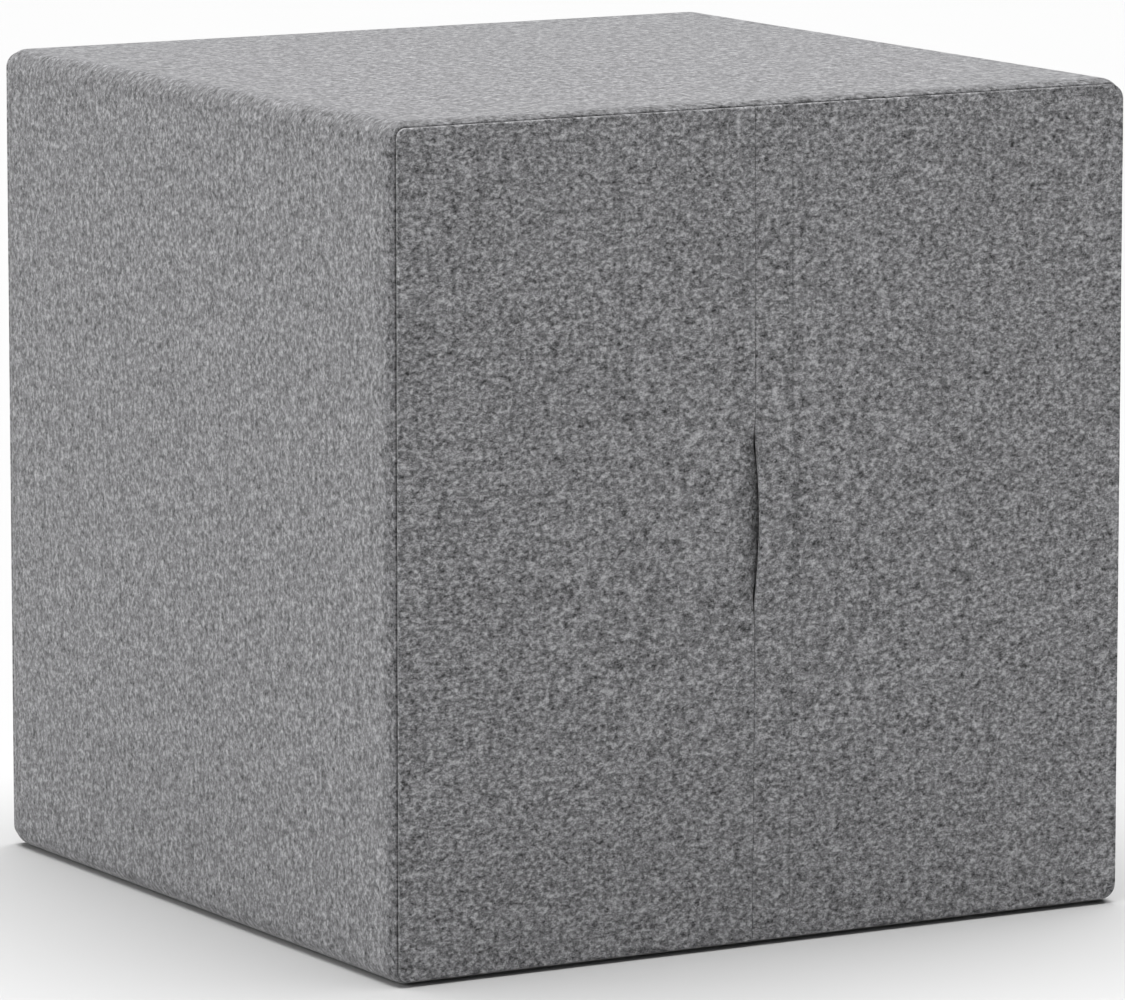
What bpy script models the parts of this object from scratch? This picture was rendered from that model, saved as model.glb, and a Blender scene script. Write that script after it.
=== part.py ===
"""Cube pouf stool: a filled felt cube that stands on its underside, metres, +Z up.

One closed strip of felt, the band, runs over the left side, the top, the right side and
the underside. A square of felt is sewn into its front edge and another into its back edge.
The front square is two panels that meet in an upright seam, left open over a hand's width
as a slit, and the right-hand panel's hem is stitched down beside it. The cover is drawn
tight over one filled body, which has a grip hollow behind the slit.

The origin is the middle of the underside. The slit is in the front, at -Y.
"""

import math

import bmesh
import bpy

MM = 0.001

# The cube and its cloth
SIDE = 450 * MM
CORNER_RADIUS = 11 * MM
CLOTH = 3 * MM
GAP = 0.3 * MM
CROWN = 1.5 * MM

# The seams round the front and back squares
PANEL_INSET = 2.6 * MM
EASE_LENGTH = 12 * MM
EASE_DROP = 2.3 * MM
EDGE_ROLL = 1.2 * MM

# The upright front seam, its open slit and the hem beside it
SEAM_X = -8.9 * MM
SLIT_BOTTOM = 175 * MM
SLIT_LENGTH = 107 * MM
SLIT_BOW = 2.5 * MM
LIP_WIDTH = 10 * MM
LIP_DIP = 5 * MM
LIP_LIFT = 0.6 * MM
HEM_WIDTH = 22.8 * MM
HEM_BOW = 3.4 * MM
HEM_CREASE = 0.2 * MM
CREASE_HALF_WIDTH = 1.4 * MM
BOW_FADE = 40 * MM

# The grip hollow in the filled body
HOLLOW_WIDTH = 30 * MM
HOLLOW_DEPTH = 36 * MM
HOLLOW_MARGIN = 4 * MM
HOLLOW_ROUNDING = 6 * MM

# How finely the surfaces are divided
CORNER_STEPS = 3
FLAT_STEPS = 6
EASE_STEPS = 3
SLIT_STEPS = 10
ROLL_STEPS = 2

HALF = SIDE / 2
FLAT_HALF = HALF - CORNER_RADIUS
BODY_HALF = HALF - CLOTH - GAP
PANEL_HALF = HALF - PANEL_INSET
SLIT_MIDDLE = SLIT_BOTTOM + SLIT_LENGTH / 2
HEM_X = SEAM_X + HEM_WIDTH

FELT_GREY = (0.235, 0.235, 0.24, 1)
FELT_GREY_SIDE = (0.25, 0.25, 0.255, 1)
FILLING_GREY = (0.36, 0.36, 0.35, 1)


def clear_scene():
    for obj in list(bpy.data.objects):
        bpy.data.objects.remove(obj)


def material(name, colour, roughness):
    """A Principled material of one colour."""
    made = bpy.data.materials.new(name)
    made.use_nodes = True
    shader = made.node_tree.nodes["Principled BSDF"]
    shader.inputs["Base Color"].default_value = colour
    shader.inputs["Roughness"].default_value = roughness
    shader.inputs["Metallic"].default_value = 0
    return made


def collection(name):
    made = bpy.data.collections.new(name)
    bpy.context.scene.collection.children.link(made)
    return made


def object_from(bm, name, group, finish=None):
    """The bmesh as a new object in a collection, with its material."""
    mesh = bpy.data.meshes.new(name)
    bm.to_mesh(mesh)
    bm.free()
    mesh.shade_smooth()
    mesh.set_sharp_from_angle(angle=math.radians(40))
    if finish:
        mesh.materials.append(finish)
    made = bpy.data.objects.new(name, mesh)
    group.objects.link(made)
    return made


def spread(start, end, steps):
    """Evenly spaced values from start to end, both included."""
    return [start + (end - start) * step / steps for step in range(steps + 1)]


def corner_lines(half, radius):
    """Grid lines from the outline inwards, spaced so that the round corner has equal angles."""
    angles = spread(math.pi / 4, 0, CORNER_STEPS)
    return [half - radius + radius * math.tan(angle) for angle in angles]


def side_lines(half, radius):
    """Grid lines from -half to half: close together at the corners, even between them."""
    outer = corner_lines(half, radius)
    inner = half - radius
    middle = spread(-inner, inner, FLAT_STEPS)
    return [-line for line in outer[:-1]] + middle + outer[-2::-1]


def rounded(across, up, half, radius):
    """A point of a square grid, moved so that the square's corners become round."""
    inner = half - radius
    near_across = max(-inner, min(inner, across))
    near_up = max(-inner, min(inner, up))
    off_across, off_up = across - near_across, up - near_up
    length = math.hypot(off_across, off_up)
    if length == 0:
        return across, up
    scale = max(abs(off_across), abs(off_up)) / length
    return near_across + off_across * scale, near_up + off_up * scale


def crown(across, up):
    """How far the filling pushes a side out, from nothing at its edges to CROWN."""
    weights = [max(0, 1 - (value / FLAT_HALF) ** 2) for value in (across, up)]
    return CROWN * weights[0] * weights[1]


def ease(from_edge):
    """How far the band leans in at a distance from the front or back face: a circle's arc."""
    run = max(0, EASE_LENGTH - from_edge)
    full_run = EASE_LENGTH - CLOTH - GAP
    radius = (full_run**2 + EASE_DROP**2) / (2 * EASE_DROP)
    return radius - math.sqrt(radius**2 - run**2)


def slit_opening(height):
    """How open the front seam is at a height, from 0 to 1 at the slit's middle."""
    along = (height - SLIT_MIDDLE) / (SLIT_LENGTH / 2)
    return max(0, 1 - along**2) ** 1.5


def sheet(name, group, finish, columns, rows, place):
    """A felt sheet: a grid put in place, given its thickness inwards and rolled edges."""
    bm = bmesh.new()
    across, up = len(columns) - 1, len(rows) - 1
    bmesh.ops.create_grid(bm, x_segments=across, y_segments=up, size=1)
    for vertex in bm.verts:
        column = round((vertex.co.x + 1) / 2 * across)
        row = round((vertex.co.y + 1) / 2 * up)
        vertex.co = place(columns[column], rows[row])
    bmesh.ops.remove_doubles(bm, verts=bm.verts, dist=1e-6)
    made = object_from(bm, name, group, finish)
    thicken = made.modifiers.new("cloth thickness", "SOLIDIFY")
    thicken.thickness = CLOTH
    thicken.offset = -1
    thicken.use_even_offset = True
    roll = made.modifiers.new("rolled edges", "BEVEL")
    roll.width = EDGE_ROLL
    roll.segments = ROLL_STEPS
    roll.limit_method = "ANGLE"
    roll.angle_limit = math.radians(60)
    return made


def panel_point(across, up, facing):
    """A point of a sewn-in square; facing is -1 for the front and 1 for the back."""
    x, z = rounded(across, up, PANEL_HALF, PANEL_HALF - FLAT_HALF)
    return (x, facing * (HALF + crown(x, z)), HALF + z)


def back_panel(group, finish):
    lines = side_lines(PANEL_HALF, PANEL_HALF - FLAT_HALF)
    return sheet(
        "back_panel", group, finish, lines, lines, lambda a, b: panel_point(-a, b, 1)
    )


def front_rows():
    """Heights of the front panels' grid rows, measured from the cube's middle."""
    outer = corner_lines(PANEL_HALF, PANEL_HALF - FLAT_HALF)
    bottom, top = SLIT_BOTTOM - HALF, SLIT_BOTTOM + SLIT_LENGTH - HALF
    below = spread(-FLAT_HALF, bottom, FLAT_STEPS // 2)
    slit = spread(bottom, top, SLIT_STEPS)
    above = spread(top, FLAT_HALF, FLAT_STEPS // 2)
    return [-line for line in outer[:-1]] + below[:-1] + slit + above[1:] + outer[-2::-1]


def left_panel_point(across, up):
    """The left-hand panel dips inwards along the slit, and its lip follows the other one."""
    x, y, z = panel_point(across, up, -1)
    opening = slit_opening(z)
    nearness = max(0, 1 - (SEAM_X - across) / LIP_WIDTH)
    return (
        x + SLIT_BOW * opening * nearness - GAP / 2 * (nearness > 0),
        y + LIP_DIP * opening * nearness**2,
        z,
    )


def right_panel_point(across, up):
    """The right-hand panel bows away along the slit, with a crease where its hem is stitched."""
    x, y, z = panel_point(across, up, -1)
    opening = slit_opening(z)
    from_seam = across - SEAM_X
    if from_seam < HEM_WIDTH:
        bow = SLIT_BOW + (HEM_BOW - SLIT_BOW) * from_seam / HEM_WIDTH
    else:
        bow = HEM_BOW * max(0, 1 - (from_seam - HEM_WIDTH) / BOW_FADE)
    lift = LIP_LIFT * opening * max(0, 1 - from_seam / LIP_WIDTH)
    crease = HEM_CREASE * max(0, 1 - abs(across - HEM_X) / CREASE_HALF_WIDTH)
    return (x + bow * opening + GAP / 2 * (from_seam == 0), y - lift + crease, z)


def front_panel_left(group, finish):
    outer = corner_lines(PANEL_HALF, PANEL_HALF - FLAT_HALF)
    lip = [SEAM_X - LIP_WIDTH * share for share in (1, 0.7, 0.45, 0.25, 0)]
    flat = spread(-FLAT_HALF, lip[0], FLAT_STEPS // 2 + 1)
    columns = [-line for line in outer[:-1]] + flat[:-1] + lip
    return sheet(
        "front_panel_left", group, finish, columns, front_rows(), left_panel_point
    )


def front_panel_right(group, finish):
    outer = corner_lines(PANEL_HALF, PANEL_HALF - FLAT_HALF)
    lip = [SEAM_X + LIP_WIDTH * share for share in (0, 0.3, 1)]
    hem = spread(HEM_X - CREASE_HALF_WIDTH, HEM_X + CREASE_HALF_WIDTH, 2)
    flat = spread(HEM_X + BOW_FADE, FLAT_HALF, FLAT_STEPS // 2)
    columns = lip + hem + flat + outer[-2::-1]
    return sheet(
        "front_panel_right", group, finish, columns, front_rows(), right_panel_point
    )


def band_loop():
    """The band's run round the cube, as (x, z, normal x, normal z, crown's place on its side).

    It goes over the top, down the right side, back along the underside and up the left
    side. A place of None has no crown: the corners, and the underside that it stands on.
    """
    loop = []
    for side in range(4):
        turn = -side * math.pi / 2
        stands_on = side == 2
        run = [
            (along, HALF, 0, 1, None if stands_on else along)
            for along in spread(-FLAT_HALF, FLAT_HALF, FLAT_STEPS)
        ]
        for angle in spread(math.pi / 2, 0, 2 * CORNER_STEPS)[1:-1]:
            normal_x, normal_z = math.cos(angle), math.sin(angle)
            run.append(
                (
                    FLAT_HALF + CORNER_RADIUS * normal_x,
                    FLAT_HALF + CORNER_RADIUS * normal_z,
                    normal_x,
                    normal_z,
                    None,
                )
            )
        cos, sin = math.cos(turn), math.sin(turn)
        loop += [
            (x * cos - z * sin, x * sin + z * cos, nx * cos - nz * sin, nx * sin + nz * cos, at)
            for x, z, nx, nz, at in run
        ]
    return loop + loop[:1]


def band_point(place, depth):
    """A point of the band, pushed out by the filling and leaning in towards its seams."""
    x, z, normal_x, normal_z, along = place
    out = 0 if along is None else crown(along, depth)
    out -= ease(HALF - abs(depth))
    return (x + normal_x * out, depth, HALF + z + normal_z * out)


def band(group, finish):
    end = HALF - CLOTH - GAP
    eased = spread(end, HALF - EASE_LENGTH, EASE_STEPS)
    flat = spread(EASE_LENGTH - HALF, HALF - EASE_LENGTH, FLAT_STEPS)
    depths = [-line for line in eased[:-1]] + flat + eased[-2::-1]
    return sheet("band", group, finish, band_loop(), depths, band_point)


def filled_body_point(x, y, z):
    """A point of a cube's grid, measured from its middle, on the rounded and crowned body."""
    point = [x, y, z]
    near = [max(-FLAT_HALF, min(FLAT_HALF, value)) for value in point]
    off = [value - held for value, held in zip(point, near)]
    length = math.hypot(*off)
    radius = BODY_HALF - FLAT_HALF
    placed = [held + radius * value / length for held, value in zip(near, off)]
    for axis in range(3):
        across, up = [point[other] for other in range(3) if other != axis]
        underside = axis == 2 and z < 0
        if abs(point[axis]) > FLAT_HALF and not underside:
            placed[axis] += math.copysign(crown(across, up), point[axis])
    return (placed[0], placed[1], placed[2] + HALF)


def grip_hollow_cutter(group):
    """The block that cuts the grip hollow into the filled body's front."""
    bm = bmesh.new()
    bmesh.ops.create_cube(bm, size=1)
    outside = HALF - BODY_HALF + CROWN + HOLLOW_ROUNDING
    for vertex in bm.verts:
        x, y, z = vertex.co
        vertex.co = (
            SEAM_X + x * HOLLOW_WIDTH,
            -BODY_HALF + (HOLLOW_DEPTH if y > 0 else -outside),
            SLIT_MIDDLE + z * (SLIT_LENGTH + 2 * HOLLOW_MARGIN),
        )
    made = object_from(bm, "grip_hollow_cutter", group)
    rounding = made.modifiers.new("rounded hollow", "BEVEL")
    rounding.width = HOLLOW_ROUNDING
    rounding.segments = 3
    made.hide_render = True
    made.display_type = "WIRE"
    return made


def filled_body(group, finish, cutter):
    """The filled body: a cube's grid, rounded and crowned, with the grip hollow cut out."""
    lines = side_lines(BODY_HALF, BODY_HALF - FLAT_HALF)
    steps = len(lines) - 1
    bm = bmesh.new()
    bmesh.ops.create_cube(bm, size=2)
    bmesh.ops.subdivide_edges(bm, edges=bm.edges[:], cuts=steps - 1, use_grid_fill=True)
    for vertex in bm.verts:
        indices = [round((value + 1) / 2 * steps) for value in vertex.co]
        vertex.co = filled_body_point(*[lines[index] for index in indices])
    made = object_from(bm, "filled_body", group, finish)
    cut = made.modifiers.new("grip hollow", "BOOLEAN")
    cut.operation = "DIFFERENCE"
    cut.solver = "EXACT"
    cut.object = cutter
    return made


def main():
    clear_scene()
    parts = collection("cube_pouf_stool")
    cutters = collection("cutters")
    side_felt = material("side felt", FELT_GREY_SIDE, 0.95)
    left_felt = material("front left felt", FELT_GREY, 0.95)
    right_felt = material("front right felt", FELT_GREY, 0.95)
    back_felt = material("back felt", FELT_GREY, 0.95)
    filling = material("filling", FILLING_GREY, 1)
    pieces = [
        filled_body(parts, filling, grip_hollow_cutter(cutters)),
        band(parts, side_felt),
        front_panel_left(parts, left_felt),
        front_panel_right(parts, right_felt),
        back_panel(parts, back_felt),
    ]
    stand = bpy.data.objects.new("underside_middle", None)
    parts.objects.link(stand)
    for piece in pieces:
        piece.parent = stand


main()
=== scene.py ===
import math

import bmesh
import bpy
import numpy as np
from bpy.props import FloatProperty, FloatVectorProperty, PointerProperty
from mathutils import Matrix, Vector


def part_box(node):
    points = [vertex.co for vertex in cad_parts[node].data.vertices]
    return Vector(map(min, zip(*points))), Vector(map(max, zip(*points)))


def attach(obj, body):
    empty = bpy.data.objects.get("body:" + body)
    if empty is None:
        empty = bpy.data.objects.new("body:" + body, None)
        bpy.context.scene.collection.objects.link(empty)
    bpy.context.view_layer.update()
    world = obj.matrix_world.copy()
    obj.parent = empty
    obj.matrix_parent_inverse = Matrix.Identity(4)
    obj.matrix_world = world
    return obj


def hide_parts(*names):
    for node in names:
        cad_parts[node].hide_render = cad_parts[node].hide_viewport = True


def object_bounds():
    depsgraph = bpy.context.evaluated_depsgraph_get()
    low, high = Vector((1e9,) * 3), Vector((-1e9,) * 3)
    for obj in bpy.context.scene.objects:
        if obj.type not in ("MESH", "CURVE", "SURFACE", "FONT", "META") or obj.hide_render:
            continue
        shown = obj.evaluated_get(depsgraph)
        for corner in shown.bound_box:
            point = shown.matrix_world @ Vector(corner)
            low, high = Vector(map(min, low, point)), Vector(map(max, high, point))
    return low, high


# A filled felt cube to sit on: its cover, its stitches, its filling and a plain studio.
# Lengths are in metres, the front faces -Y, and the underside stands on z = 0.

bl_info = {
    "name": "Cube pouf stool",
    "version": (1, 0, 0),
    "blender": (4, 5, 0),
    "location": "View3D > Sidebar > Pouf",
    "description": "Makes a filled felt cube with sewn-in squares and a hand slit",
    "category": "Object",
}

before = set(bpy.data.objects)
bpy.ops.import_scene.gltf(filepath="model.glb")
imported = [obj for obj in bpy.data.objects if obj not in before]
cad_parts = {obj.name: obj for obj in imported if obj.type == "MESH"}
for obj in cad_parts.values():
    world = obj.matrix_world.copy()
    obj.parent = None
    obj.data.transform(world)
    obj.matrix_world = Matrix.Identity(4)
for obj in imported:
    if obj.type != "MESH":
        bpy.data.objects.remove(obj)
CAD_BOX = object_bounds()

MM = 0.001

# The fixed solids' own sizes, which the cloth follows
CROWN = 1.5 * MM
CORNER_RADIUS = 11 * MM
CLOTH = 3 * MM
GAP = 0.3 * MM
SEAM_X = -8.9 * MM
SLIT_BOTTOM = 175 * MM
SLIT_LENGTH = 107 * MM
PANEL_INSET = 2.6 * MM

BAND_LOW, BAND_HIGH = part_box("band")
HALF = BAND_HIGH.x - CROWN
FLAT_HALF = HALF - CORNER_RADIUS
PANEL_HALF = HALF - PANEL_INSET
SLIT_MIDDLE = SLIT_BOTTOM + SLIT_LENGTH / 2

# The panels' round corners have the same middles as the band's, but the left-hand front
# panel's turn more sharply, and the band leans in less there, by this share, to follow them
PANEL_CORNER = PANEL_HALF - FLAT_HALF
LEFT_PANEL_CORNER = 5.2 * MM
SHARPER_CORNER = 0.68

# How finely the cloth is divided
FINE = 1.5 * MM
MIDDLING = 3 * MM
COARSE = 6 * MM
CORNER_STEPS = 6
LIP_STEP = 0.8 * MM
CREASE_STEP = 0.4 * MM

# Seeds of the felt's unevenness; the two front panels are one square, and share theirs
BAND_SEED = 3
PUCKER_SEED = 11
FRONT_SEED = 5
BACK_SEED = 11
CREASE_SEED = 8

# Where each piece of cloth lies in the felt's pattern, so that no two show the same flecks;
# the two front panels lie side by side in it
PATTERN_PLACES = {
    "band_felt": 0.0,
    "front_left_felt": 2.3,
    "front_right_felt": 2.3,
    "back_felt": 4.1,
}

# How much larger the felt's pattern is on the band, which is drawn tightest, and how much
# of that is lost again down its sides
BAND_PATTERN_SIZE = 1.22
TIGHTER_SIDES = 0.14

# How strongly the felt's flecks show; the top's show less, a painted sheen of fibres seen at a
# grazing angle
PANEL_CONTRAST = 0.95
BAND_CONTRAST = 0.86
TOP_SHEEN_FADE = 0.17

# Painted shade where the felt rolls into its seams: by what share more along the top's seams
# than along the sides', and how much at a panel's outline, over how wide a strip
TOP_SEAM_EXTRA = 0.7
OUTLINE_SHADE = 0.6
OUTLINE_WIDTH = 2.5 * MM

# Width of the strip of the band before a seam that puckers
PUCKER_WIDTH = 5 * MM

# The slit's left lip: the room between it and the felt it goes under, the power of the
# opening that its depth follows, and the power of the nearness that it curves in by
LIP_ROOM = 0.4 * MM
LIP_ENDS = 0.6
LIP_CURVE = 1.8

# How much painted shade darkens the left lip where it curves in under the other, and the share
# of its width over which that comes on
LIP_SHADE = 2.1
LIP_SHADE_SHARE = 0.56

# The slit's right lip: how far it lifts, and the width over which it does
LIP_LIFT = 0.6 * MM
LIP_LIFT_WIDTH = 10 * MM

# The hem line: how far beside it the felt is most finely and less finely divided, the
# width of its crease, and the length over which that fades out towards the outline
HEM_FINE = 3 * MM
HEM_MIDDLING = 12 * MM
CREASE_WIDTH = 0.7 * MM
CREASE_FADE = 9 * MM

# Beside the slit the hem line is pushed in: how deep, how far right of the line, over what
# width, and how much painted shade darkens that hollow
HOLLOW_DEPTH = 0.5 * MM
HOLLOW_OFFSET = 0.8 * MM
HOLLOW_WIDTH = 3.2 * MM
HOLLOW_SHADE = 0.8

# The widths over which the hem line's bow fades out to its right, and the seam's gap from it
BOW_FADE = 40 * MM
SEAM_GAP_WIDTH = 5 * MM

# The hem's stitches: their spacing, their size, how far they rise, and the row's length
STITCH_PITCH = 3.4 * MM
STITCH_LENGTH = 2.7 * MM
STITCH_RADIUS = 0.22 * MM
STITCH_RISE = 0.2 * MM
STITCH_ROW = 2 * (FLAT_HALF + 2 * MM)

# The filling: how far its pressure may push it out, and the size of its even faces
SWELLING = 1.8 * MM
EVEN_FACE = 9 * MM

# The studio: the floor's reach and how far it lies under the pouf, the heights above the
# horizon where the pale walls end and the sky begins, and the point that the camera looks at
FLOOR_REACH = 40.0
FLOOR_UNDER = 0.2 * MM
WALLS_END = math.radians(4)
SKY_START = math.radians(16)
CAMERA_AIM = (2.4 * MM, -4.3 * MM, HALF - 16 * MM)

# What each point of the cloth holds for the felt's pattern: its place on the flat cloth,
# how much painted shade darkens it, and how strongly its flecks show
CLOTH_MAP = "cloth_map"
PAINTED_SHADE = "painted_shade"
CONTRAST = "contrast"


class CoverSizes(bpy.types.PropertyGroup):
    """Sizes of the cover that a user might change."""

    roll: FloatProperty(
        name="Rolled edge",
        description="Radius of the panels' turned edges",
        default=0.95 * MM,
        unit="LENGTH",
    )
    lean: FloatProperty(
        name="Lean at the seams",
        description="How far the band leans in at the front and back seams",
        default=2.3 * MM,
        unit="LENGTH",
    )
    lean_length: FloatProperty(
        name="Length of the lean",
        description="How far from the front and back faces the band starts to lean in",
        default=12 * MM,
        unit="LENGTH",
    )
    slit_bow: FloatProperty(
        name="Slit bow",
        description="How far the right lip of the slit bows to the right",
        default=3.1 * MM,
        unit="LENGTH",
    )
    lip_dip: FloatProperty(
        name="Lip dip",
        description="How deep the left lip of the slit dips at its edge",
        default=6.5 * MM,
        unit="LENGTH",
    )
    lip_tuck: FloatProperty(
        name="Lip tuck",
        description="How far the left lip of the slit goes in under the right lip",
        default=5 * MM,
        unit="LENGTH",
    )
    lip_width: FloatProperty(
        name="Lip width",
        description="Width of the strip beside the slit that the left lip dips over",
        default=11 * MM,
        unit="LENGTH",
    )
    seam_gap: FloatProperty(
        name="Seam gap",
        description="Gap between the two front panels where their seam is closed",
        default=0.06 * MM,
        unit="LENGTH",
    )
    hem_width: FloatProperty(
        name="Hem width",
        description="Distance of the stitched hem line from the upright seam",
        default=22.8 * MM,
        unit="LENGTH",
    )
    hem_bow: FloatProperty(
        name="Hem bow",
        description="How far the hem line bows to the right beside the slit",
        default=3.4 * MM,
        unit="LENGTH",
    )
    hem_crease: FloatProperty(
        name="Hem crease",
        description="Depth of the crease that the hem's stitches pull into the felt",
        default=0.3 * MM,
        unit="LENGTH",
    )
    # Painted shade: width of the strip along the band's seams that is painted darker, where
    # shade falls as it rolls over
    seam_shade_width: FloatProperty(
        name="Seam shade width",
        description="Width of the strip of the band that is pressed flat along its seams",
        default=11 * MM,
        unit="LENGTH",
    )
    pucker: FloatProperty(
        name="Pucker",
        description="How far the band's edge wanders in and out along its seams",
        default=0.16 * MM,
        unit="LENGTH",
    )
    unevenness: FloatProperty(
        name="Unevenness",
        description="Height of the felt's soft undulation",
        default=0.1 * MM,
        unit="LENGTH",
    )


class FeltColours(bpy.types.PropertyGroup):
    """Colours and scale of the heather felt and the filling."""

    dark: FloatVectorProperty(
        name="Dark fibres",
        description="Colour of the felt's darkest flecks",
        subtype="COLOR",
        size=3,
        default=(0.0255, 0.0255, 0.0264),
    )
    middle: FloatVectorProperty(
        name="Middle fibres",
        description="Colour of most of the felt",
        subtype="COLOR",
        size=3,
        default=(0.217, 0.217, 0.2243),
    )
    light: FloatVectorProperty(
        name="Light fibres",
        description="Colour of the felt's lightest flecks",
        subtype="COLOR",
        size=3,
        default=(0.547, 0.547, 0.561),
    )
    fibre: FloatProperty(
        name="Fleck size",
        description="Size of one fleck of fibres",
        default=2.3 * MM,
        unit="LENGTH",
    )
    # Painted shade: how much darker the felt is painted at seams, folds and the slit's lip,
    # where shade falls
    painted_shade_strength: FloatProperty(
        name="Painted shade strength",
        description="How much darker felt shows where it is pressed at seams and folds",
        default=0.1,
    )
    filling: FloatVectorProperty(
        name="Filling",
        description="Colour of the filling",
        subtype="COLOR",
        size=3,
        default=(0.3, 0.3, 0.29),
    )
    thread: FloatVectorProperty(
        name="Thread",
        description="Colour of the sewing thread",
        subtype="COLOR",
        size=3,
        default=(0.155, 0.155, 0.16),
    )


class StudioSettings(bpy.types.PropertyGroup):
    """Light, floor and camera of the plain studio."""

    floor: FloatVectorProperty(
        name="Floor",
        description="Colour of the floor",
        subtype="COLOR",
        size=3,
        default=(0.57, 0.57, 0.57),
    )
    key_strength: FloatProperty(
        name="Key light", description="Strength of the broad light from above", default=5.05
    )
    key_towards: FloatVectorProperty(
        name="Key place",
        description="Direction towards the light from above",
        subtype="DIRECTION",
        size=3,
        default=(0.08, 0.1, 1.0),
    )
    fill_strength: FloatProperty(
        name="Fill light", description="Strength of the broad light from the left", default=1.43
    )
    fill_towards: FloatVectorProperty(
        name="Fill place",
        description="Direction towards the light from the left",
        subtype="DIRECTION",
        size=3,
        default=(-1.0, -0.4, 0.35),
    )
    spread: FloatProperty(
        name="Spread",
        description="How wide the two lights are; wider is softer",
        default=math.radians(60),
        subtype="ANGLE",
    )
    surround: FloatProperty(
        name="Surround", description="Strength of the light all round", default=0.2
    )
    walls: FloatProperty(
        name="Walls",
        description="Brightness of the studio's far walls, low down",
        default=0.65,
    )
    azimuth: FloatProperty(
        name="Azimuth",
        description="Direction of the camera's view, from +Y towards +X",
        default=math.radians(30.10),
        subtype="ANGLE",
    )
    tilt: FloatProperty(
        name="Tilt",
        description="How far the camera looks down",
        default=math.radians(8.816),
        subtype="ANGLE",
    )
    distance: FloatProperty(
        name="Distance",
        description="Distance of the camera from the point it looks at",
        default=4.585,
        unit="LENGTH",
    )
    lens: FloatProperty(
        name="Lens", description="Focal length in millimetres", default=266.8
    )


# ---------------------------------------------------------------- arrays


def steps(start, end, step):
    """Evenly spaced values from start to end, no further apart than step."""
    count = max(1, math.ceil(abs(end - start) / step - 1e-9))
    return np.linspace(start, end, count + 1)


def joined(*runs):
    """Runs of values that share their end points, as one run."""
    return np.concatenate([runs[0], *[run[1:] for run in runs[1:]]])


def corner_lines(half, radius):
    """Values from the flat's end out to half, spaced so that a round corner has equal angles."""
    angles = np.linspace(0, math.pi / 4, CORNER_STEPS + 1)
    return half - radius + radius * np.tan(angles)


def rounded_square(across, up, half, radius):
    """A square grid with its corners rounded.

    The part of each point outside the square's inner square is kept in direction and given
    the length of its larger component, so square rings become rings with round corners.
    """
    inner = half - radius
    near_across, near_up = np.clip(across, -inner, inner), np.clip(up, -inner, inner)
    off_across, off_up = across - near_across, up - near_up
    length = np.hypot(off_across, off_up)
    larger = np.maximum(np.abs(off_across), np.abs(off_up))
    scale = np.divide(larger, length, out=np.ones_like(length), where=length > 0)
    return near_across + off_across * scale, near_up + off_up * scale


def crown(across, up):
    """The filling's push on a side: CROWN times a parabola each way, nothing at its edges."""
    weights = [np.clip(1 - (value / FLAT_HALF) ** 2, 0, 1) for value in (across, up)]
    return CROWN * weights[0] * weights[1]


def slit_opening(height):
    """How open the front seam is at a height: (1 - distance squared) to the power 1.5."""
    along = (height - SLIT_MIDDLE) / (SLIT_LENGTH / 2)
    return np.clip(1 - along**2, 0, 1) ** 1.5


def undulation(across, up, seed, longest=60 * MM, shortest=14 * MM, waves=14):
    """A soft uneven height of about unit size: a sum of plane waves in seeded directions.

    Each wave is the cosine of the place times its own wave vector, plus its own phase, and
    its height goes with its length to the power 0.7.
    """
    random = np.random.default_rng(seed)
    total = np.zeros(np.broadcast(across, up).shape)
    for length in np.geomspace(longest, shortest, waves):
        angle, phase = random.uniform(0, 2 * math.pi, 2)
        turn = 2 * math.pi / length
        place = across * math.cos(angle) + up * math.sin(angle)
        total += np.cos(place * turn + phase) * (length / longest) ** 0.7
    return total / math.sqrt(waves)


# ---------------------------------------------------------------- meshes


def grid_faces(rows, columns, closed=False):
    """Quads between neighbouring points of a grid, rows first; closed joins its last column."""
    index = np.arange(rows * columns).reshape(rows, columns)
    after = np.roll(index, -1, axis=1)
    if not closed:
        index, after = index[:, :-1], after[:, :-1]
    quads = [index[:-1], after[:-1], after[1:], index[1:]]
    return np.stack(quads, axis=-1).reshape(-1, 4)


def mesh_object(name, points, faces):
    """Points (n, 3) and quads (m, 4) as a smooth object."""
    mesh = bpy.data.meshes.new(name)
    mesh.from_pydata(points.reshape(-1, 3), [], faces)
    mesh.shade_smooth()
    made = bpy.data.objects.new(name, mesh)
    bpy.context.scene.collection.objects.link(made)
    return made


def set_point_data(mesh, name, kind, field, values):
    """Keeps a value for each point of the mesh, as an attribute of a kind."""
    data = mesh.attributes.new(name, kind, "POINT").data
    data.foreach_set(field, values.reshape(-1).astype(np.float32))


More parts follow.
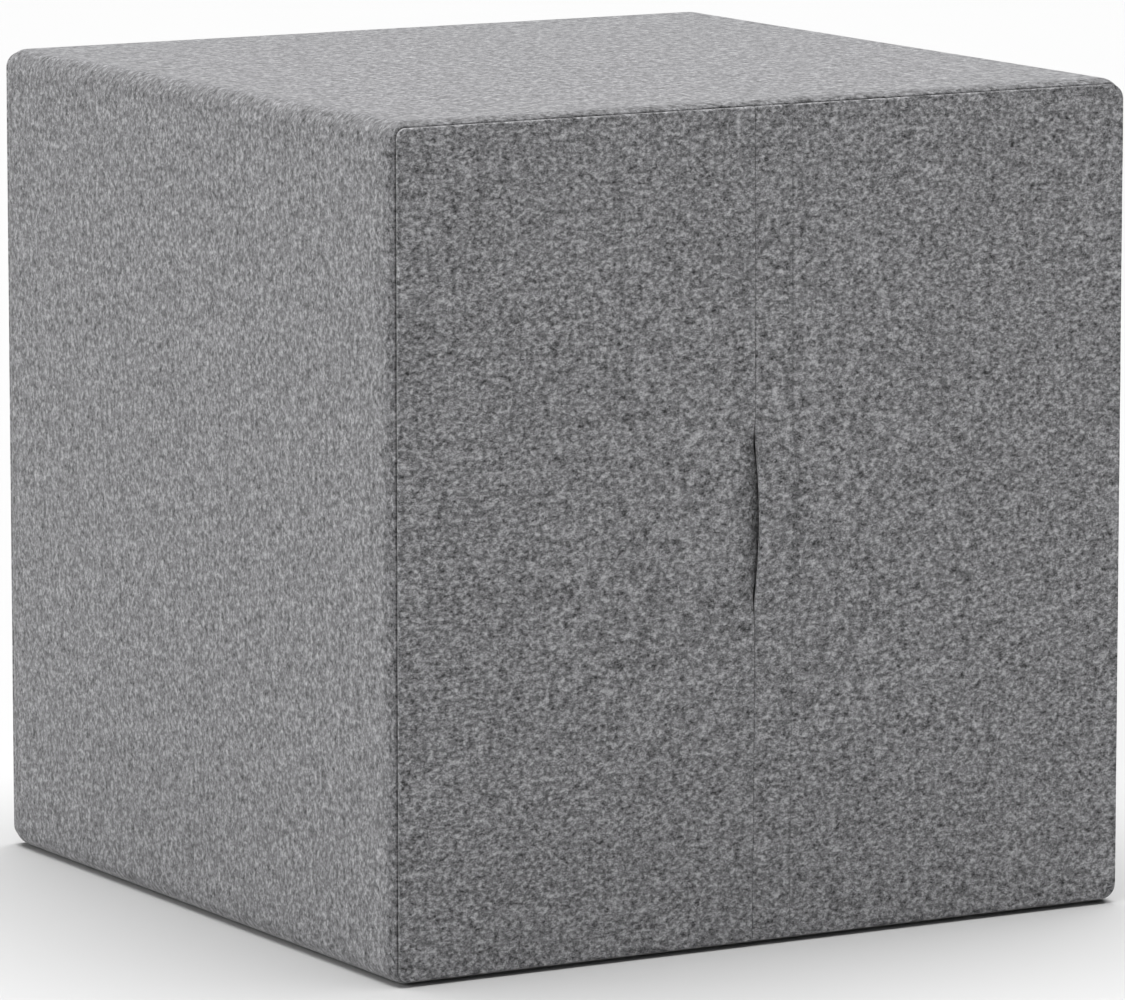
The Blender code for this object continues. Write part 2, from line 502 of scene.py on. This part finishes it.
def cloth_sheet(name, surface, on_cloth, painted_shade, contrast=PANEL_CONTRAST, closed=False):
    """A sheet of felt through a grid of points, thick inwards, with rolled edges.

    surface is x, y and z on the grid, on_cloth the two places on the flat cloth, along its
    grain and across it, the painted shade runs from 0 on open felt through 1 at a seam to 2
    inside the slit, and contrast is how strongly the flecks show.
    """
    sizes = bpy.context.scene.pouf_cover
    shape = surface[0].shape
    made = mesh_object(name, np.stack(surface, axis=-1), grid_faces(*shape, closed))
    place = [np.broadcast_to(part, shape) for part in (*on_cloth, PATTERN_PLACES[name])]
    set_point_data(made.data, CLOTH_MAP, "FLOAT_VECTOR", "vector", np.stack(place, axis=-1))
    # The painted shade for the material: 0 on open felt, 1 at a seam, up to 2 in the slit's lip
    painted_shade = np.clip(np.broadcast_to(painted_shade, shape), 0, 2)
    set_point_data(made.data, PAINTED_SHADE, "FLOAT", "value", painted_shade)
    contrast = np.broadcast_to(contrast, shape)
    set_point_data(made.data, CONTRAST, "FLOAT", "value", contrast)
    thicken = made.modifiers.new("cloth thickness", "SOLIDIFY")
    thicken.thickness = CLOTH
    thicken.offset = -1
    thicken.use_even_offset = True
    roll = made.modifiers.new("rolled edges", "BEVEL")
    roll.width = sizes.roll
    roll.segments = 4
    roll.limit_method = "ANGLE"
    roll.angle_limit = math.radians(60)
    roll.use_clamp_overlap = False
    return made


def finish_piece(piece, node, material):
    """The piece gets its material, moves with the only body and stands for its solid."""
    piece.data.materials.clear()
    piece.data.materials.append(material)
    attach(piece, "root")
    if node:
        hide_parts(node)


# ---------------------------------------------------------------- materials


class Nodes:
    """Adds nodes to a material's tree and links them."""

    def __init__(self, name):
        """Starts a new material with one shader."""
        self.material = bpy.data.materials.new(name)
        self.material.use_nodes = True
        self.tree = self.material.node_tree
        self.shader = self.tree.nodes["Principled BSDF"]

    def add(self, kind, inputs=None, **settings):
        """A new node with its settings, and its inputs linked or set."""
        node = self.tree.nodes.new(kind)
        for key, value in settings.items():
            setattr(node, key, value)
        for key, value in (inputs or {}).items():
            self.put(node.inputs[key], value)
        return node

    def put(self, socket, value):
        """Links an output to the socket, or sets the socket to a plain value."""
        if isinstance(value, bpy.types.NodeSocket):
            self.tree.links.new(value, socket)
        else:
            socket.default_value = value

    def maths(self, operation, *values):
        """The result of one sum on the values, each an output or a number."""
        node = self.add("ShaderNodeMath", operation=operation)
        for socket, value in zip(node.inputs, values):
            self.put(socket, value)
        return node.outputs[0]

    def noise(self, place, size, stretch=1.0, detail=2.0, roughness=0.5, distortion=0.0):
        """Noise whose cells are size long, and stretch times as long along the grain."""
        moved = self.add(
            "ShaderNodeMapping",
            {"Vector": place, "Scale": (1 / (size * stretch), 1 / size, 1 / size)},
        )
        made = self.add(
            "ShaderNodeTexNoise",
            {
                "Vector": moved.outputs[0],
                "Scale": 1.0,
                "Detail": detail,
                "Roughness": roughness,
                "Distortion": distortion,
            },
        )
        return made.outputs["Fac"]

    def ramp(self, factor, *stops):
        """A colour ramp through stops, each a place from 0 to 1 and a colour."""
        made = self.add("ShaderNodeValToRGB", {"Fac": factor})
        elements = made.color_ramp.elements
        while len(elements) < len(stops):
            elements.new(0.5)
        for element, (place, colour) in zip(elements, stops):
            element.position = place
            element.color = (*colour, 1)
        return made.outputs["Color"]


def felt_material(panel=False):
    """Heather felt: flecks, wisps, tufts and clouds of fibres add up to one shade.

    Each noise is centred on 0 and weighted. Their sum times the contrast, plus 0.5, picks a
    colour between dark, middle and light fibres, and painted shade makes it a little darker at
    seams, folds and the slit's lip. The two finer noises also lift the fibres as bump. A
    panel's pattern changes through its thickness too, so that its cut edge isn't streaked.
    """
    name = "panel felt" if panel else "band felt"
    if name in bpy.data.materials:
        return bpy.data.materials[name]
    colours = bpy.context.scene.pouf_felt
    nodes = Nodes(name)
    place = nodes.add("ShaderNodeAttribute", attribute_name=CLOTH_MAP).outputs["Vector"]
    if panel:
        position = nodes.add("ShaderNodeTexCoord").outputs["Object"]
        parts = nodes.add("ShaderNodeSeparateXYZ", {"Vector": position})
        inwards = nodes.add("ShaderNodeCombineXYZ", {"Z": parts.outputs["Y"]})
        moved = nodes.add(
            "ShaderNodeVectorMath", {0: place, 1: inwards.outputs[0]}, operation="ADD"
        )
        place = moved.outputs["Vector"]
    size = colours.fibre
    flecks = nodes.noise(place, size, stretch=1.3, detail=3.0, roughness=0.7, distortion=0.3)
    wisps = nodes.noise(
        place, size * 0.62, stretch=1.5, detail=2.0, roughness=0.6, distortion=1.5
    )
    tufts = nodes.noise(place, size * 2.7, stretch=1.2, detail=2.0)
    clouds = nodes.noise(place, size * 11.5, detail=2.0)
    shade = 0.0
    for noise, weight in ((flecks, 1.5), (wisps, 0.8), (tufts, 0.45), (clouds, 0.09)):
        centred = nodes.maths("SUBTRACT", noise, 0.5)
        shade = nodes.maths("MULTIPLY_ADD", centred, weight, shade)
    contrast = nodes.add("ShaderNodeAttribute", attribute_name=CONTRAST).outputs["Fac"]
    shade = nodes.maths("MULTIPLY_ADD", shade, contrast, 0.5)
    # Painted shade: darker at seams, folds and the slit's lip, where shade falls
    painted_shade = nodes.add("ShaderNodeAttribute", attribute_name=PAINTED_SHADE).outputs["Fac"]
    shade = nodes.maths("MULTIPLY_ADD", painted_shade, -colours.painted_shade_strength, shade)
    fibres = nodes.ramp(
        shade, (0.15, colours.dark), (0.5, colours.middle), (0.85, colours.light)
    )
    height = nodes.maths("MULTIPLY_ADD", wisps, 0.5, flecks)
    bump = nodes.add(
        "ShaderNodeBump", {"Height": height, "Strength": 0.2, "Distance": 0.6 * MM}
    )
    nodes.put(nodes.shader.inputs["Base Color"], fibres)
    nodes.put(nodes.shader.inputs["Normal"], bump.outputs["Normal"])
    nodes.shader.inputs["Roughness"].default_value = 0.95
    nodes.shader.inputs["Specular IOR Level"].default_value = 0.15
    nodes.shader.inputs["Sheen Weight"].default_value = 0.5
    nodes.shader.inputs["Sheen Roughness"].default_value = 0.5
    nodes.shader.inputs["Sheen Tint"].default_value = (0.5, 0.5, 0.5, 1)
    return nodes.material


def thread_material():
    """Sewing thread: fine noise along it, between two near shades."""
    colours = bpy.context.scene.pouf_felt
    nodes = Nodes("sewing thread")
    place = nodes.add("ShaderNodeTexCoord").outputs["Object"]
    twist = nodes.noise(place, 0.6 * MM, detail=1.0)
    middle = Vector(colours.thread)
    dark, light = middle * 0.8, middle * 1.2
    nodes.put(nodes.shader.inputs["Base Color"], nodes.ramp(twist, (0.3, dark), (0.7, light)))
    nodes.shader.inputs["Roughness"].default_value = 0.7
    return nodes.material


def filling_material():
    """Foam: fine pores that darken the colour and dent the surface."""
    colours = bpy.context.scene.pouf_felt
    nodes = Nodes("foam filling")
    place = nodes.add("ShaderNodeTexCoord").outputs["Object"]
    pores = nodes.noise(place, 1.2 * MM, detail=3.0, roughness=0.7)
    dark = Vector(colours.filling) * 0.7
    foam = nodes.ramp(pores, (0.3, dark), (0.7, colours.filling))
    bump = nodes.add(
        "ShaderNodeBump", {"Height": pores, "Strength": 0.5, "Distance": 0.5 * MM}
    )
    nodes.put(nodes.shader.inputs["Base Color"], foam)
    nodes.put(nodes.shader.inputs["Normal"], bump.outputs["Normal"])
    nodes.shader.inputs["Roughness"].default_value = 1.0
    return nodes.material


def floor_material(colour):
    """A plain pale floor, almost without gloss."""
    nodes = Nodes("pale floor")
    nodes.put(nodes.shader.inputs["Base Color"], (*colour, 1))
    nodes.shader.inputs["Roughness"].default_value = 0.9
    nodes.shader.inputs["Specular IOR Level"].default_value = 0.1
    return nodes.material


# ---------------------------------------------------------------- the cover


def band_profile(from_face):
    """How far the band leans in at a distance from the front or back face.

    It is a circle's arc, level where the lean starts, and as deep as the lean at the cloth's
    end. Its radius is (run squared + lean squared) / (2 lean).
    """
    sizes = bpy.context.scene.pouf_cover
    run = np.clip(sizes.lean_length - from_face, 0, None)
    full_run = sizes.lean_length - CLOTH - GAP
    radius = (full_run**2 + sizes.lean**2) / (2 * sizes.lean)
    return radius - np.sqrt(radius**2 - run**2)


def band_loop():
    """The band's run round the cube, clockwise as seen from the front, starting on the top.

    Each side is a straight run and a quarter circle, turned by a quarter for each side.
    Each point has x, z from the cube's middle, the normal's x and z, its distance along the
    side, its distance along the cloth, its distance along the cloth from the middle of the
    nearest corner, and 1 on the underside or else 0.
    """
    flat = steps(-FLAT_HALF, FLAT_HALF, COARSE)
    angles = np.linspace(math.pi / 2, 0, 2 * CORNER_STEPS + 1)[1:-1]
    turned = CORNER_RADIUS * (math.pi / 2 - angles)
    half_arc = CORNER_RADIUS * math.pi / 4
    x = np.concatenate([flat, FLAT_HALF + CORNER_RADIUS * np.cos(angles)])
    z = np.concatenate([np.full_like(flat, HALF), FLAT_HALF + CORNER_RADIUS * np.sin(angles)])
    normal_x = np.concatenate([np.zeros_like(flat), np.cos(angles)])
    normal_z = np.concatenate([np.ones_like(flat), np.sin(angles)])
    along = np.concatenate([flat, np.full_like(angles, FLAT_HALF)])
    cloth = np.concatenate([flat, FLAT_HALF + turned])
    from_corner = np.concatenate(
        [half_arc + FLAT_HALF - np.abs(flat), np.abs(turned - half_arc)]
    )
    side_cloth = 2 * (FLAT_HALF + half_arc)
    loop = []
    for side in range(4):
        cos, sin = math.cos(-side * math.pi / 2), math.sin(-side * math.pi / 2)
        loop.append(
            (
                x * cos - z * sin,
                x * sin + z * cos,
                normal_x * cos - normal_z * sin,
                normal_x * sin + normal_z * cos,
                along,
                cloth + side * side_cloth,
                from_corner,
                np.full_like(along, side == 2),
            )
        )
    return [np.concatenate(column) for column in zip(*loop)]


def band_felt():
    """The band: the loop carried along Y, pushed out by the crown and leaning to its seams.

    It leans less round the two left-hand corners in front, by a parabola of the distance
    from the corner's middle, so that its edge follows the left-hand panel's sharper corners.
    The last few millimetres before a seam pucker a little, by waves along the seam. Painted
    shade darkens it evenly more towards its seams, most on the top, and over the top corners
    by the square of such a parabola, where shade falls as it rolls over. Down its sides the
    pattern is a little tighter. Its flecks show less than the panels' do, and least on the
    top, as painted sheen of fibres seen at a grazing angle.
    """
    sizes = bpy.context.scene.pouf_cover
    x, z, normal_x, normal_z, along, cloth, from_corner, under = band_loop()
    end = HALF - CLOTH - GAP
    lean_start = HALF - sizes.lean_length
    edge = joined(
        steps(lean_start - 8 * MIDDLING, lean_start, MIDDLING), steps(lean_start, end, FINE)
    )
    depths = joined(-edge[::-1], steps(-edge[0], edge[0], COARSE), edge)
    depth = depths[:, None]
    soft = sizes.unevenness / 2 * undulation(cloth, depth, BAND_SEED)
    out = (crown(along, depth) + soft) * (1 - under)
    hump = np.clip(1 - (from_corner / (CORNER_RADIUS * math.pi / 4)) ** 2, 0, 1)
    sharper = SHARPER_CORNER * hump * (x < 0) * (depth < 0)
    out = out - band_profile(HALF - np.abs(depth)) * (1 - sharper)
    rim = np.clip(1 - (end - np.abs(depth)) / PUCKER_WIDTH, 0, 1)
    seam = np.sign(depth) * HALF
    waves = undulation(cloth, seam, PUCKER_SEED, longest=50 * MM, shortest=16 * MM)
    out += sizes.pucker * rim * waves
    surface = (x + normal_x * out, depth + 0 * x, HALF + z + normal_z * out)
    on_top = np.clip(normal_z, 0, 1)
    # Painted shade along the rounded seams, more on the top, and over the top corners
    at_seam = np.clip(1 - (end - np.abs(depth)) / sizes.seam_shade_width, 0, 1)
    at_seam = at_seam * (1 + TOP_SEAM_EXTRA * on_top)
    at_corner = np.clip(1 - (from_corner / CORNER_RADIUS) ** 2, 0, 1) ** 2 * (z > 0)
    looser = BAND_PATTERN_SIZE
    tighter = TIGHTER_SIDES * (z - HALF) * np.clip(-x / FLAT_HALF, -1, 1)
    return cloth_sheet(
        "band_felt",
        surface,
        (cloth / looser + tighter, depth / looser),
        np.maximum(at_seam, at_corner),
        # flecks show less on the top: painted sheen of fibres seen at a grazing angle
        BAND_CONTRAST - TOP_SHEEN_FADE * on_top,
        closed=True,
    )


def panel_surface(across, up, facing, seed, corner=PANEL_CORNER):
    """A sewn-in square: a rounded square, pushed out by the crown, with soft unevenness."""
    sizes = bpy.context.scene.pouf_cover
    x, z = rounded_square(across, up, PANEL_HALF, corner)
    soft = sizes.unevenness * undulation(x, z, seed)
    return x, facing * (HALF + crown(x, z) + soft), HALF + z


def panel_outline_shade(across, up):
    """Painted shade at the outline's seam, where the panel's edge rolls into it: evenly less
    over the first few millimetres inwards.
    """
    from_outline = PANEL_HALF - np.maximum(np.abs(across), np.abs(up))
    return OUTLINE_SHADE * np.clip(1 - from_outline / OUTLINE_WIDTH, 0, 1)


def outer_lines(corner=PANEL_CORNER):
    """Grid lines from the flat's end out to the square's outline, at even corner angles."""
    return corner_lines(PANEL_HALF, corner)


def back_felt():
    """The back panel, one sewn-in square, its grid mirrored so that it faces backwards."""
    outer = outer_lines()
    lines = joined(-outer[::-1], steps(-outer[0], outer[0], COARSE), outer)
    across, up = np.meshgrid(-lines, lines)
    surface = panel_surface(across, up, 1, BACK_SEED)
    # Painted shade along the outline's seam
    return cloth_sheet("back_felt", surface, (across, up), panel_outline_shade(across, up))


def front_rows(outer):
    """Heights of a front panel's rows, fine beside the slit, from the cube's middle."""
    low = SLIT_BOTTOM - HALF - 4 * MIDDLING
    high = SLIT_BOTTOM + SLIT_LENGTH - HALF + 4 * MIDDLING
    return joined(
        -outer[::-1],
        steps(-outer[0], low, COARSE),
        steps(low, high, FINE),
        steps(high, outer[0], COARSE),
        outer,
    )


def front_left_felt():
    """The left-hand front panel.

    Beside the slit its lip dips by a power of the nearness to its edge. Where that takes it
    deeper than the other lip's felt, it goes on to the right, under that lip. Painted shade
    darkens it there, where it curves in under that lip, by the square of the nearness.
    """
    sizes = bpy.context.scene.pouf_cover
    lip = SEAM_X - sizes.lip_width
    turn = SEAM_X - sizes.roll * 1.2
    outer = outer_lines(LEFT_PANEL_CORNER)
    columns = joined(
        -outer[::-1],
        steps(-outer[0], lip, COARSE),
        steps(lip, turn, LIP_STEP),
        np.array([turn, SEAM_X]),
    )
    across, up = np.meshgrid(columns, front_rows(outer))
    x, y, z = panel_surface(across, up, -1, FRONT_SEED, LEFT_PANEL_CORNER)
    opening = slit_opening(z)
    nearness = np.clip(1 - (SEAM_X - across) / sizes.lip_width, 0, 1)
    dip = sizes.lip_dip * opening**LIP_ENDS
    under = CLOTH + LIP_ROOM
    tuck = sizes.lip_tuck * np.clip((dip - under) / (sizes.lip_dip - under), 0, 1)
    x = x + (sizes.slit_bow * opening + tuck - sizes.seam_gap / 2) * nearness
    y = y + dip * nearness**LIP_CURVE
    # Painted shade where the lip curves in under the other lip
    beside_slit = LIP_SHADE * np.clip(nearness / LIP_SHADE_SHARE, 0, 1) ** 2
    painted_shade = panel_outline_shade(across, up) + beside_slit * opening**LIP_ENDS
    return cloth_sheet("front_left_felt", (x, y, z), (x, z), painted_shade)


def hem_shift(from_seam, opening):
    """How far the right-hand panel moves to the right beside the slit.

    It changes evenly from the lip's bow to the hem line's, then fades out evenly.
    """
    sizes = bpy.context.scene.pouf_cover
    near = sizes.slit_bow + (sizes.hem_bow - sizes.slit_bow) * from_seam / sizes.hem_width
    far = sizes.hem_bow * np.clip(1 - (from_seam - sizes.hem_width) / BOW_FADE, 0, 1)
    return np.where(from_seam < sizes.hem_width, near, far) * opening


def front_right_felt():
    """The right-hand front panel.

    It bows away beside the slit and its lip lifts a little. The hem's stitches pull a
    crease into it, unevenly along its length: a Gaussian of the distance from the hem line
    that fades out towards the outline. Beside the slit the hem line is also pushed in, over a
    wider Gaussian, and painted shade darkens that hollow.
    """
    sizes = bpy.context.scene.pouf_cover
    hem_x = SEAM_X + sizes.hem_width
    turn = SEAM_X + sizes.roll * 1.2
    outer = outer_lines()
    columns = joined(
        np.array([SEAM_X, turn]),
        steps(turn, hem_x - HEM_FINE, FINE),
        steps(hem_x - HEM_FINE, hem_x + HEM_FINE, CREASE_STEP),
        steps(hem_x + HEM_FINE, hem_x + HEM_MIDDLING, FINE),
        steps(hem_x + HEM_MIDDLING, outer[0], COARSE),
        outer,
    )
    across, up = np.meshgrid(columns, front_rows(outer))
    x, y, z = panel_surface(across, up, -1, FRONT_SEED)
    opening = slit_opening(z)
    from_seam = across - SEAM_X
    from_hem = across - hem_x
    lift = LIP_LIFT * opening * np.clip(1 - from_seam / LIP_LIFT_WIDTH, 0, 1)
    uneven = undulation(x * 0, z, CREASE_SEED, longest=30 * MM, shortest=6 * MM)
    pull = (0.8 + 0.2 * uneven) * np.clip((PANEL_HALF - np.abs(up)) / CREASE_FADE, 0, 1)
    crease = sizes.hem_crease * pull * np.exp(-((from_hem / CREASE_WIDTH) ** 2))
    # The hollow beside the slit, which painted shade also darkens
    beside_slit = np.exp(-(((from_hem - HOLLOW_OFFSET) / HOLLOW_WIDTH) ** 2)) * opening
    hollow = HOLLOW_DEPTH * beside_slit
    edge_gap = sizes.seam_gap / 2 * np.clip(1 - from_seam / SEAM_GAP_WIDTH, 0, 1)
    x = x + hem_shift(from_seam, opening) + edge_gap
    return cloth_sheet(
        "front_right_felt",
        (x, y - lift + crease + hollow, z),
        (across, up),
        # painted shade at the outline and in the hollow beside the slit
        panel_outline_shade(across, up) + HOLLOW_SHADE * beside_slit,
    )


def hem_stitches():
    """The hem's row of stitches: each a short thread that arcs out of the crease.

    A stitch's middle line runs up by its length while it rises by half a sine wave, and a
    small circle is carried along it, whose radius goes with the square root of that wave,
    so that both ends draw in.
    """
    sizes = bpy.context.scene.pouf_cover
    count = int(STITCH_ROW / STITCH_PITCH)
    middle = (np.arange(count) - (count - 1) / 2) * STITCH_PITCH + HALF
    rings = np.linspace(0, 1, 7)
    turns = np.linspace(0, 2 * math.pi, 7)[:-1]
    height = middle[:, None, None] + (rings[None, :, None] - 0.5) * STITCH_LENGTH
    drawn_in = np.sin(np.clip(rings, 0.04, 0.96) * math.pi)[None, :, None] ** 0.5
    thick = STITCH_RADIUS * drawn_in
    rise = STITCH_RISE * np.sin(rings * math.pi)[None, :, None]
    hem_x = SEAM_X + sizes.hem_width
    sway = hem_shift(np.array(sizes.hem_width), slit_opening(height))
    x = hem_x + sway + thick * np.cos(turns)[None, None, :]
    face = HALF + crown(np.array(hem_x), height - HALF)
    hollow = HOLLOW_DEPTH * slit_opening(height)
    sunk = sizes.hem_crease * 0.8 + hollow
    y = -face + sunk - rise + thick * np.sin(turns)[None, None, :]
    z = height + 0 * x
    points = np.stack([x, y, z], axis=-1)
    stitch = grid_faces(len(rings), len(turns), closed=True)
    first_points = np.arange(count) * len(rings) * len(turns)
    faces = (stitch[None] + first_points[:, None, None]).reshape(-1, 4)
    made = mesh_object("hem_stitches", points, faces)
    close_holes(made)
    return made


def close_holes(piece):
    """Closes each open ring of edges with a face, and turns all faces outwards."""
    bm = bmesh.new()
    bm.from_mesh(piece.data)
    bmesh.ops.holes_fill(bm, edges=[edge for edge in bm.edges if edge.is_boundary])
    bmesh.ops.recalc_face_normals(bm, faces=bm.faces)
    bm.to_mesh(piece.data)
    bm.free()


def evaluated_mesh(piece):
    """The piece's mesh as its modifiers leave it."""
    graph = bpy.context.evaluated_depsgraph_get()
    return bpy.data.meshes.new_from_object(piece.evaluated_get(graph))


def point_places(mesh):
    """The mesh's points, a row of x, y and z for each."""
    places = np.empty(len(mesh.vertices) * 3)
    mesh.vertices.foreach_get("co", places)
    return places.reshape(-1, 3)


def swollen_places(piece, last_frame=20):
    """Where the piece's points are once an even pressure from inside has blown it up."""
    cloth = piece.modifiers.new("filling pressure", "CLOTH")
    cloth.settings.use_pressure = True
    cloth.settings.uniform_pressure_force = 4
    cloth.settings.effector_weights.gravity = 0
    cloth.settings.quality = 5
    cloth.point_cache.frame_start, cloth.point_cache.frame_end = 1, last_frame
    for now in range(1, last_frame + 1):
        bpy.context.scene.frame_set(now)
    swollen = point_places(evaluated_mesh(piece))
    piece.modifiers.remove(cloth)
    bpy.context.scene.frame_set(1)
    return swollen


def filled_form():
    """The filling: the solid's own shape, a little smaller and remeshed, then swollen.

    The solid shrinks evenly about its middle by the swelling allowed. Each point then
    moves to where the filling's pressure takes it, but no further than that swelling, and
    not at all on the underside, which stays flat on what it stands on.
    """
    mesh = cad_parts["filled_body"].data.copy()
    merged = bmesh.new()
    merged.from_mesh(mesh)
    bmesh.ops.remove_doubles(merged, verts=merged.verts, dist=0.001 * MM)
    merged.to_mesh(mesh)
    merged.free()
    middle = np.array([0, 0, HALF])
    places = middle + (point_places(mesh) - middle) * (1 - SWELLING / HALF)
    mesh.vertices.foreach_set("co", places.reshape(-1))
    piece = bpy.data.objects.new("filled_form", mesh)
    bpy.context.scene.collection.objects.link(piece)
    remesh = piece.modifiers.new("even faces", "REMESH")
    remesh.mode = "VOXEL"
    remesh.voxel_size = EVEN_FACE
    piece.data = evaluated_mesh(piece)
    piece.modifiers.clear()
    start = point_places(piece.data)
    moved = swollen_places(piece) - start
    length = np.linalg.norm(moved, axis=1, keepdims=True)
    moved *= np.minimum(1, SWELLING / np.maximum(length, 1e-9))
    moved[start[:, 2] < start[:, 2].min() + EVEN_FACE / 3] = 0
    piece.data.vertices.foreach_set("co", (start + moved).reshape(-1))
    piece.data.shade_smooth()
    finer = piece.modifiers.new("finer faces", "SUBSURF")
    finer.levels = finer.render_levels = 1
    return piece


# ---------------------------------------------------------------- operators


class POUF_OT_band(bpy.types.Operator):
    """Make the band that runs round the cube"""

    bl_idname = "pouf.band"
    bl_label = "Band"

    def execute(self, context):
        piece = band_felt()
        finish_piece(piece, "band", felt_material())
        return {"FINISHED"}


class POUF_OT_front_panels(bpy.types.Operator):
    """Make the two front panels that meet in the upright seam"""

    bl_idname = "pouf.front_panels"
    bl_label = "Front panels"

    def execute(self, context):
        left, right = front_left_felt(), front_right_felt()
        finish_piece(left, "front_panel_left", felt_material(panel=True))
        finish_piece(right, "front_panel_right", felt_material(panel=True))
        return {"FINISHED"}


class POUF_OT_back_panel(bpy.types.Operator):
    """Make the back panel"""

    bl_idname = "pouf.back_panel"
    bl_label = "Back panel"

    def execute(self, context):
        piece = back_felt()
        finish_piece(piece, "back_panel", felt_material(panel=True))
        return {"FINISHED"}


class POUF_OT_stitches(bpy.types.Operator):
    """Sew the hem beside the upright seam"""

    bl_idname = "pouf.stitches"
    bl_label = "Hem stitches"

    def execute(self, context):
        finish_piece(hem_stitches(), None, thread_material())
        return {"FINISHED"}


class POUF_OT_filling(bpy.types.Operator):
    """Fill the cover"""

    bl_idname = "pouf.filling"
    bl_label = "Filling"

    def execute(self, context):
        piece = filled_form()
        finish_piece(piece, "filled_body", filling_material())
        return {"FINISHED"}


class POUF_OT_stage(bpy.types.Operator):
    """Set up the floor, the light and the camera"""

    bl_idname = "pouf.stage"
    bl_label = "Studio"

    def execute(self, context):
        studio = context.scene.pouf_studio
        make_floor(studio)
        make_lights(studio)
        make_camera(studio)
        return {"FINISHED"}


# ---------------------------------------------------------------- the studio


def make_floor(studio):
    """A square floor, wide enough to fill every view, just under the pouf."""
    lines = np.linspace(-FLOOR_REACH, FLOOR_REACH, 3)
    across, along = np.meshgrid(lines, lines)
    level = np.full_like(across, CAD_BOX[0][2] - FLOOR_UNDER)
    points = np.stack([across, along, level], axis=-1)
    floor = mesh_object("studio_floor", points, grid_faces(3, 3))
    floor.data.materials.append(floor_material(studio.floor))


def broad_light(name, strength, towards, spread):
    """A light as wide as spread in the sky, that lights every place alike."""
    light = bpy.data.lights.new(name, "SUN")
    light.energy = strength
    light.angle = spread
    made = bpy.data.objects.new(name, light)
    made.rotation_euler = Vector(towards).to_track_quat("Z", "Y").to_euler()
    bpy.context.scene.collection.objects.link(made)


def make_lights(studio):
    """One broad light from above, one from the left, and pale walls far off all round."""
    broad_light("key_light", studio.key_strength, studio.key_towards, studio.spread)
    broad_light("fill_light", studio.fill_strength, studio.fill_towards, studio.spread)
    make_walls(studio)
    bpy.context.scene.view_settings.view_transform = "Standard"


def make_walls(studio):
    """The world: pale near the horizon, and fading upwards to the even surround."""
    world = bpy.data.worlds.new("studio")
    world.use_nodes = True
    tree = world.node_tree
    direction = tree.nodes.new("ShaderNodeTexCoord")
    parts = tree.nodes.new("ShaderNodeSeparateXYZ")
    fade = tree.nodes.new("ShaderNodeMapRange")
    fade.interpolation_type = "SMOOTHSTEP"
    fade.inputs["From Min"].default_value = math.sin(WALLS_END)
    fade.inputs["From Max"].default_value = math.sin(SKY_START)
    fade.inputs["To Min"].default_value = studio.walls
    fade.inputs["To Max"].default_value = studio.surround
    tree.links.new(direction.outputs["Generated"], parts.inputs[0])
    tree.links.new(parts.outputs["Z"], fade.inputs["Value"])
    tree.links.new(fade.outputs[0], tree.nodes["Background"].inputs["Strength"])
    bpy.context.scene.world = world


def make_camera(studio):
    """The camera looks down a little at a point just under the cube's middle."""
    level = math.cos(studio.tilt)
    forward = Vector(
        (
            math.sin(studio.azimuth) * level,
            math.cos(studio.azimuth) * level,
            -math.sin(studio.tilt),
        )
    )
    camera = bpy.data.cameras.new("camera")
    camera.lens = studio.lens
    camera.sensor_width = 36
    camera.clip_end = 100
    made = bpy.data.objects.new("camera", camera)
    made.location = Vector(CAMERA_AIM) - forward * studio.distance
    made.rotation_euler = (math.pi / 2 - studio.tilt, 0, -studio.azimuth)
    bpy.context.scene.collection.objects.link(made)
    bpy.context.scene.camera = made


class POUF_PT_panel(bpy.types.Panel):
    """The pouf's sizes, colours and pieces"""

    bl_idname = "POUF_PT_panel"
    bl_label = "Cube pouf"
    bl_space_type = "VIEW_3D"
    bl_region_type = "UI"
    bl_category = "Pouf"

    def draw(self, context):
        """Lists the settings, then a button for each operator."""
        for group in (
            context.scene.pouf_cover,
            context.scene.pouf_felt,
            context.scene.pouf_studio,
        ):
            box = self.layout.box()
            for name in group.__annotations__:
                box.prop(group, name)
        for operator in OPERATORS:
            self.layout.operator(operator.bl_idname)


PROPERTIES = {
    "pouf_cover": CoverSizes,
    "pouf_felt": FeltColours,
    "pouf_studio": StudioSettings,
}
OPERATORS = (
    POUF_OT_stage,
    POUF_OT_filling,
    POUF_OT_band,
    POUF_OT_stitches,
    POUF_OT_front_panels,
    POUF_OT_back_panel,
)


def register():
    """Makes the settings, the operators and the panel known to Blender."""
    for made in (*PROPERTIES.values(), *OPERATORS, POUF_PT_panel):
        bpy.utils.register_class(made)
    for name, made in PROPERTIES.items():
        setattr(bpy.types.Scene, name, PointerProperty(type=made))


def unregister():
    """Takes away what register made known, in the opposite order."""
    for name in PROPERTIES:
        delattr(bpy.types.Scene, name)
    for made in (POUF_PT_panel, *OPERATORS[::-1], *list(PROPERTIES.values())[::-1]):
        bpy.utils.unregister_class(made)


def main():
    """Makes every piece in order."""
    register()
    for operator in OPERATORS:
        group, name = operator.bl_idname.split(".")
        getattr(getattr(bpy.ops, group), name)()


if __name__ == "__main__":
    main()
